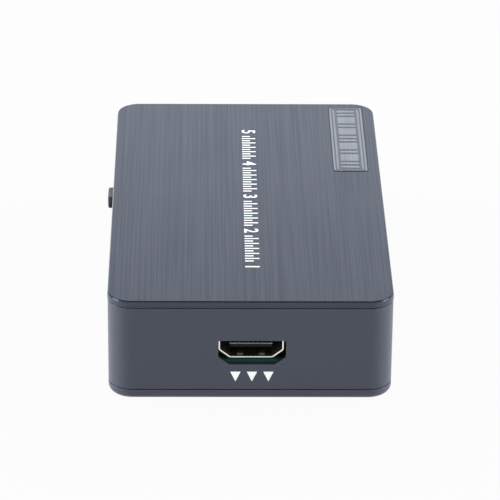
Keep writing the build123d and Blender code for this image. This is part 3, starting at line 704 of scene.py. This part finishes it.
def make_cover():
    """One profile swept round the case's outline, flat floors with round holes, and turned recesses."""
    skin = Skin()
    lip_top = cover_top + lip_depth
    step = cover_top - seam_gap
    profile = [(-inset, cover_bottom + drop) for inset, drop in round_over(cover_edge_radius, 12)]
    profile += [(-inset, step - drop) for inset, drop in round_over(seam_round)[::-1]]
    profile += [(-seam_depth, step), (-seam_depth, cover_top), (-wall, cover_top), (-wall, floor_top)]
    profile += [(lip_out, floor_top), (lip_out, lip_top), (lip_in, lip_top), (lip_in, floor_top)]
    skin.loft(ground.rings(case_shape, profile))
    posts = [round_shape(place, post_radius).at() for place in post_places]
    skin.fill(ground, floor_top, case_shape.at(lip_in), posts)
    head_rim = [(head_recess_radius + inset, cover_bottom + drop) for inset, drop in round_over(edge_round)]
    foot_reach = foot_radius + foot_gap
    foot_rim = [(foot_reach + inset, cover_bottom + drop) for inset, drop in round_over(edge_round)]
    heads = [round_shape(place, head_rim[0][0]).at() for place in post_places]
    feet = [round_shape(place, foot_rim[0][0], 16).at() for place in foot_places]
    skin.fill(ground, cover_bottom, case_shape.at(-cover_edge_radius), heads + feet)
    head_seat = cover_bottom + head_seat_height
    standoff = [(post_radius, floor_top), (post_radius, board_bottom), (pilot_radius, board_bottom)]
    standoff += [(pilot_radius, head_seat), (head_recess_radius, head_seat), *head_rim[::-1]]
    for place in post_places:
        skin.loft(turned(ground, place, standoff))
    recess = foot_rim + [(foot_reach, cover_bottom + foot_recess)]
    for place in foot_places:
        skin.loft(turned(ground, place, recess, 16), last_cap=True)
    skin.build("cover_shell", FINISHES["case_plastic"], replaces=("bottom_cover",), slot="case_plastic")


def make_feet():
    """Four turned rubber feet with a shallow dimple."""
    skin = Skin()
    profile = [(foot_radius, cover_bottom + foot_recess)]
    profile += [(foot_radius - inset, drop) for inset, drop in round_over(foot_edge_radius)[::-1]]
    profile += [(foot_dimple_radius + foot_dimple, 0), (foot_dimple_radius, foot_dimple)]
    for place in foot_places:
        skin.loft(turned(ground, place, profile, 16), first_cap=True, last_cap=True)
    skin.build("feet", FINISHES["foot_rubber"], replaces=("rubber_feet",), slot="foot_rubber")


# Left side: button, window and lamps

def make_button():
    """Crowned cap: past its rounded edge the end rises by crown x (1 - share of the way out, squared)."""
    skin = Skin()
    middle = left.of(button_middle)
    size = button_size.tolist()
    stem = Shape(rectangle(*button_stem, middle), 0.2)
    ear = Shape(rectangle(size[0] + 2 * button_ear, size[1], middle), 0.2)
    cap = Shape(rectangle(*size, middle), button_corner_radius)
    ear_back = -(wall + button_ear_sheet)
    rings = left.rings(stem, [(0, left.depth(button_high)), (0, ear_back)])
    rings += left.rings(ear, [(0, ear_back), (0, -wall)])
    proud = left.depth(button_low)
    edge = round_over(button_edge_radius, 6)[::-1]
    rings += left.rings(cap, [(0, -wall)] + [(-inset, proud - button_crown - drop) for inset, drop in edge])
    flat = cap.at(-button_edge_radius)
    for share in np.linspace(0.9, 0.1, 9):
        ring = middle + (flat - middle) * share
        rings.append(left.at(ring, proud - button_crown * share ** 2))
    skin.loft(rings, first_cap=True, last_cap=True)
    skin.build("button_cap", FINISHES["button_gloss"], "button", ("select_button",), "button_gloss")


def make_window():
    """Flat pane with a rounded edge and a flange behind the wall."""
    skin = Skin()
    middle = left.of(window_middle)
    pane = Shape(rectangle(*window_size, middle), window_corner_radius)
    flange_size = window_size + (2 * window_flange, 0)
    flange = Shape(rectangle(*flange_size, middle), window_corner_radius)
    edge = [(-inset, -drop) for inset, drop in round_over(edge_round)[::-1]]
    rings = left.rings(flange, [(0, left.depth(window_high)), (0, -wall)])
    rings += left.rings(pane, [(0, -wall)] + edge)
    skin.loft(rings, first_cap=True, last_cap=True)
    skin.build("window_pane", FINISHES["window_dark"], replaces=("ir_window",), slot="window_dark")


def make_lamps():
    """Five turned lamp bodies: flange, barrel and a quarter-round dome."""
    skin = Skin()
    end = left.depth(lamps_high)
    step = end + lamp_flange
    profile = [(lamp_flange_radius, end), (lamp_flange_radius, step), (lamp_radius, step)]
    profile += [(lamp_radius - inset, -drop) for inset, drop in round_over(lamp_dome, 8)[::-1]]
    for place in lamp_places:
        skin.loft(turned(left, place, profile), first_cap=True, last_cap=True)
    skin.build("lamps", FINISHES["lamp_clear"], replaces=("status_leds",), slot="lamp_clear")


# Badge: thin plate with a raised border, two raised lines and a row of plain raised bars

def raised(skin, side, shape, low, high):
    """Low block over a shape, with its top edge rounded: rings with the insets and drops of round_over."""
    profile = [(0, low)] + [(-inset, high - drop) for inset, drop in round_over(badge_step, 3)[::-1]]
    skin.loft(side.rings(shape, profile), first_cap=True, last_cap=True)


def make_badge():
    """Plate with a rounded top edge; on it a border, two lines and a row of bars as low rounded blocks."""
    middle = ground.of(badge_middle)
    width, length = (badge_high - badge_low)[:2]
    top = badge_high[2]
    field_top = top - badge_step
    plate = Shape(rectangle(width, length, middle), badge_corner_radius, 6)
    skin = Skin()
    raised(skin, ground, plate, badge_low[2], field_top)
    skin.build("badge_base", FINISHES["badge"], replaces=("badge_plate",), slot="badge")
    skin = Skin()
    sunk = field_top - badge_step / 2
    inner_size = width - 2 * badge_border, length - 2 * badge_end_border
    inner = Shape(rectangle(*inner_size, middle), badge_border / 2, 6)
    outer_edge = [(-inset, top - drop) for inset, drop in round_over(badge_step, 3)[::-1]]
    inner_edge = [(inset, top - drop) for inset, drop in round_over(badge_step / 2, 3)]
    rings = ground.rings(plate, [(-badge_step, sunk)] + [(grow - badge_step, z) for grow, z in outer_edge])
    rings += ground.rings(inner, inner_edge + [(0, sunk)])
    skin.loft(rings + rings[:1])
    for way in (-1, 1):
        place = middle + (way * (width / 2 - badge_line_place), 0)
        line = Shape(rectangle(badge_line_width, length - 2 * badge_line_end, place), 0.15, 4)
        raised(skin, ground, line, sunk, top)
    span = sum(badge_bars) + badge_bar_gap * (len(badge_bars) - 1)
    start = middle[1] - span / 2
    for bar in badge_bars:
        shape = Shape(rectangle(badge_bar_width, bar, (middle[0], start + bar / 2)), 0.3, 4)
        raised(skin, ground, shape, sunk, top)
        start += bar + badge_bar_gap
    skin.build("badge_lines", BADGE_PALE, slot="badge")


# Printed marks: flat white shapes just clear of the surface

def text_outline(text, size, bold):
    """Flat mesh points and faces of a plain text, its middle at the origin, in millimetres."""
    curve = bpy.data.curves.new("mark", "FONT")
    curve.body = text
    curve.size = size
    curve.offset = bold
    curve.align_x = "CENTER"
    holder = bpy.data.objects.new("mark", curve)
    bpy.context.scene.collection.objects.link(holder)
    mesh = bpy.data.meshes.new_from_object(holder.evaluated_get(bpy.context.evaluated_depsgraph_get()))
    points = np.empty(len(mesh.vertices) * 3)
    mesh.vertices.foreach_get("co", points)
    faces = [tuple(face.vertices) for face in mesh.polygons]
    bpy.data.objects.remove(holder)
    bpy.data.curves.remove(curve)
    bpy.data.meshes.remove(mesh)
    return points.reshape(-1, 3)[:, :2], faces


def print_marks(name, side, depth, marks):
    """One flat mesh of printed shapes on a side, from lists of points and faces."""
    points, faces, count = [], [], 0
    for shape_points, shape_faces in marks:
        points.append(side.at(np.asarray(shape_points, float), depth))
        faces += [tuple(i + count for i in face) for face in shape_faces]
        count += len(shape_points)
    mesh = bpy.data.meshes.new(name)
    mesh.from_pydata((np.concatenate(points) * MM).tolist(), [], faces)
    mesh.materials.append(PRINT_WHITE)
    add_piece(name, mesh)


def stroke(width, height, middle):
    """Plain rectangle as points and faces."""
    return rectangle(width, height, middle), [(0, 1, 2, 3)]


def make_top_print():
    """Numbers of the five inputs, each beside its socket, with a scale of plain strokes between them."""
    line = Side((ground.origin[0] + number_line_x, 0, 0), (0, -1, 0), (1, 0, 0))
    marks = []
    for number, place in enumerate(input_places, start=1):
        points, faces = text_outline(str(number), number_size, number_weight)
        low, high = points.min(0), points.max(0)
        points = (points - (low + high) / 2) * (1, number_height / (high - low)[1])
        marks.append((points + (-place[0], 0), faces))
    for near, far in zip(input_places, input_places[1:]):
        middle = -(near[0] + far[0]) / 2
        for step in range(-stroke_reach, stroke_reach + 1):
            height = number_height * (short_stroke if step % 2 else 1)
            place = middle + step * stroke_pitch, (height - number_height) / 2
            marks.append(stroke(stroke_width, height, place))
    print_marks("top_marks", line, lid_top + print_lift, marks)


def make_front_print():
    """Three plain triangles below the output socket that point out of the case."""
    width, height = arrow_size
    shape = np.array([(-width / 2, height), (0, 0), (width / 2, height)])
    places = [(output_offset + step * arrow_pitch, cover_bottom + arrow_level) for step in (-1, 0, 1)]
    print_marks("front_marks", front, print_lift, [(shape + place, [(0, 1, 2)]) for place in places])


make_lid()
make_frame()
make_cover()
make_feet()
make_button()
make_window()
make_lamps()
make_badge()
make_top_print()
make_front_print()


# Floor, lights and camera, in metres

SIDE_LIGHT = (0.99, 1.04, 0.92)
BACK_LIGHT = (0.94, 0.99, 1.16)
LAMP_AIM = (0, 0, 0.02)


def white_stage():
    """Floor that shows white to the camera and in reflections, and keeps a soft shadow."""
    f = Finish("white_stage")
    tone = f.noise((3, 3, 3), 1.0)
    paint = f.mix(tone, (0.61, 0.61, 0.61), (0.63, 0.63, 0.63))
    matt = f.add("BsdfDiffuse", inputs={"Color": paint})
    glow = f.add("Emission", inputs={"Color": (1, 1, 1, 1), "Strength": 1.0})
    return f.close(f.add("MixShader", inputs={0: f.shown_white() * 0.95, 1: matt, 2: glow}))


def make_floor():
    """One flat square of 6 metres on the ground."""
    mesh = bpy.data.meshes.new("floor")
    corners = rectangle(6.0, 6.0)
    mesh.from_pydata([(x, y, 0) for x, y in corners.tolist()], [], [(0, 1, 2, 3)])
    floor = bpy.data.objects.new("floor", mesh)
    bpy.context.scene.collection.objects.link(floor)
    mesh.materials.append(white_stage())


def make_world():
    """White to the camera and in reflections. As a light it is dim in front, bright at the sides and back."""
    f = Finish("studio", "worlds")
    away = f.add("SeparateXYZ", inputs={0: f.add("TexCoord", output=GENERATED)}, output=1)
    span = {"From Min": -0.9, "From Max": 0.2, "To Min": 0.10, "To Max": 0.455}
    strength = f.add("MapRange", inputs={"Value": away, **span})
    light = f.add("Background", inputs={"Color": (0.94, 0.99, 1.09, 1), "Strength": strength})
    white = f.add("Background", inputs={"Color": (1, 1, 1, 1), "Strength": 1.0})
    shader = f.add("MixShader", inputs={0: f.shown_white(), 1: light, 2: white})
    bpy.context.scene.world = f.close(shader, "OutputWorld")


def add_lamp(name, place, size, power, colour, only=None):
    """Soft rectangular lamp at a place, turned towards the case; size is its width and height."""
    lamp = bpy.data.lights.new(name, "AREA")
    lamp.shape = "RECTANGLE"
    lamp.size, lamp.size_y = size
    lamp.energy = power
    lamp.color = colour
    holder = bpy.data.objects.new(name, lamp)
    bpy.context.scene.collection.objects.link(holder)
    holder.visible_camera = False
    holder.visible_glossy = only != "diffuse"
    holder.visible_diffuse = only != "glossy"
    holder.location = place
    holder.rotation_euler = (Vector(LAMP_AIM) - Vector(place)).to_track_quat("-Z", "Y").to_euler()


def make_camera():
    """Pinhole camera of the photograph's view: place, heading, downward pitch and a slight roll."""
    place = Vector((-10.23, -699.57, 353.76)) * MM
    heading, pitch, roll = radians(0.964), radians(26.069), radians(0.528)
    forward = Vector((sin(heading) * cos(pitch), cos(heading) * cos(pitch), -sin(pitch)))
    level = Vector((cos(heading), -sin(heading), 0))
    upward = level.cross(forward)
    across = level * cos(roll) + upward * sin(roll)
    top = upward * cos(roll) - level * sin(roll)
    data = bpy.data.cameras.new("camera")
    data.sensor_width = 36.0
    data.lens = 234.6
    data.clip_start = 0.01
    camera = bpy.data.objects.new("camera", data)
    bpy.context.scene.collection.objects.link(camera)
    turn = Matrix((across, top, -forward)).transposed()
    camera.matrix_world = Matrix.Translation(place) @ turn.to_4x4()
    bpy.context.scene.camera = camera


make_floor()
make_world()
add_lamp("back_lamp", (0.0, 0.36, 0.17), (0.5, 0.16), 0.68, BACK_LIGHT)
add_lamp("left_lamp", (-0.60, 0.0, 0.17), (0.6, 0.3), 4.3, SIDE_LIGHT, "diffuse")
add_lamp("right_lamp", (0.60, 0.0, 0.17), (0.6, 0.3), 3.8, SIDE_LIGHT, "diffuse")
add_lamp("left_glint", (-0.57, -0.15, 0.06), (0.30, 0.09), 2.4, SIDE_LIGHT, "glossy")
add_lamp("right_glint", (0.57, -0.15, 0.06), (0.30, 0.09), 1.8, SIDE_LIGHT, "glossy")
make_camera()

bpy.context.scene.view_settings.view_transform = "Standard"
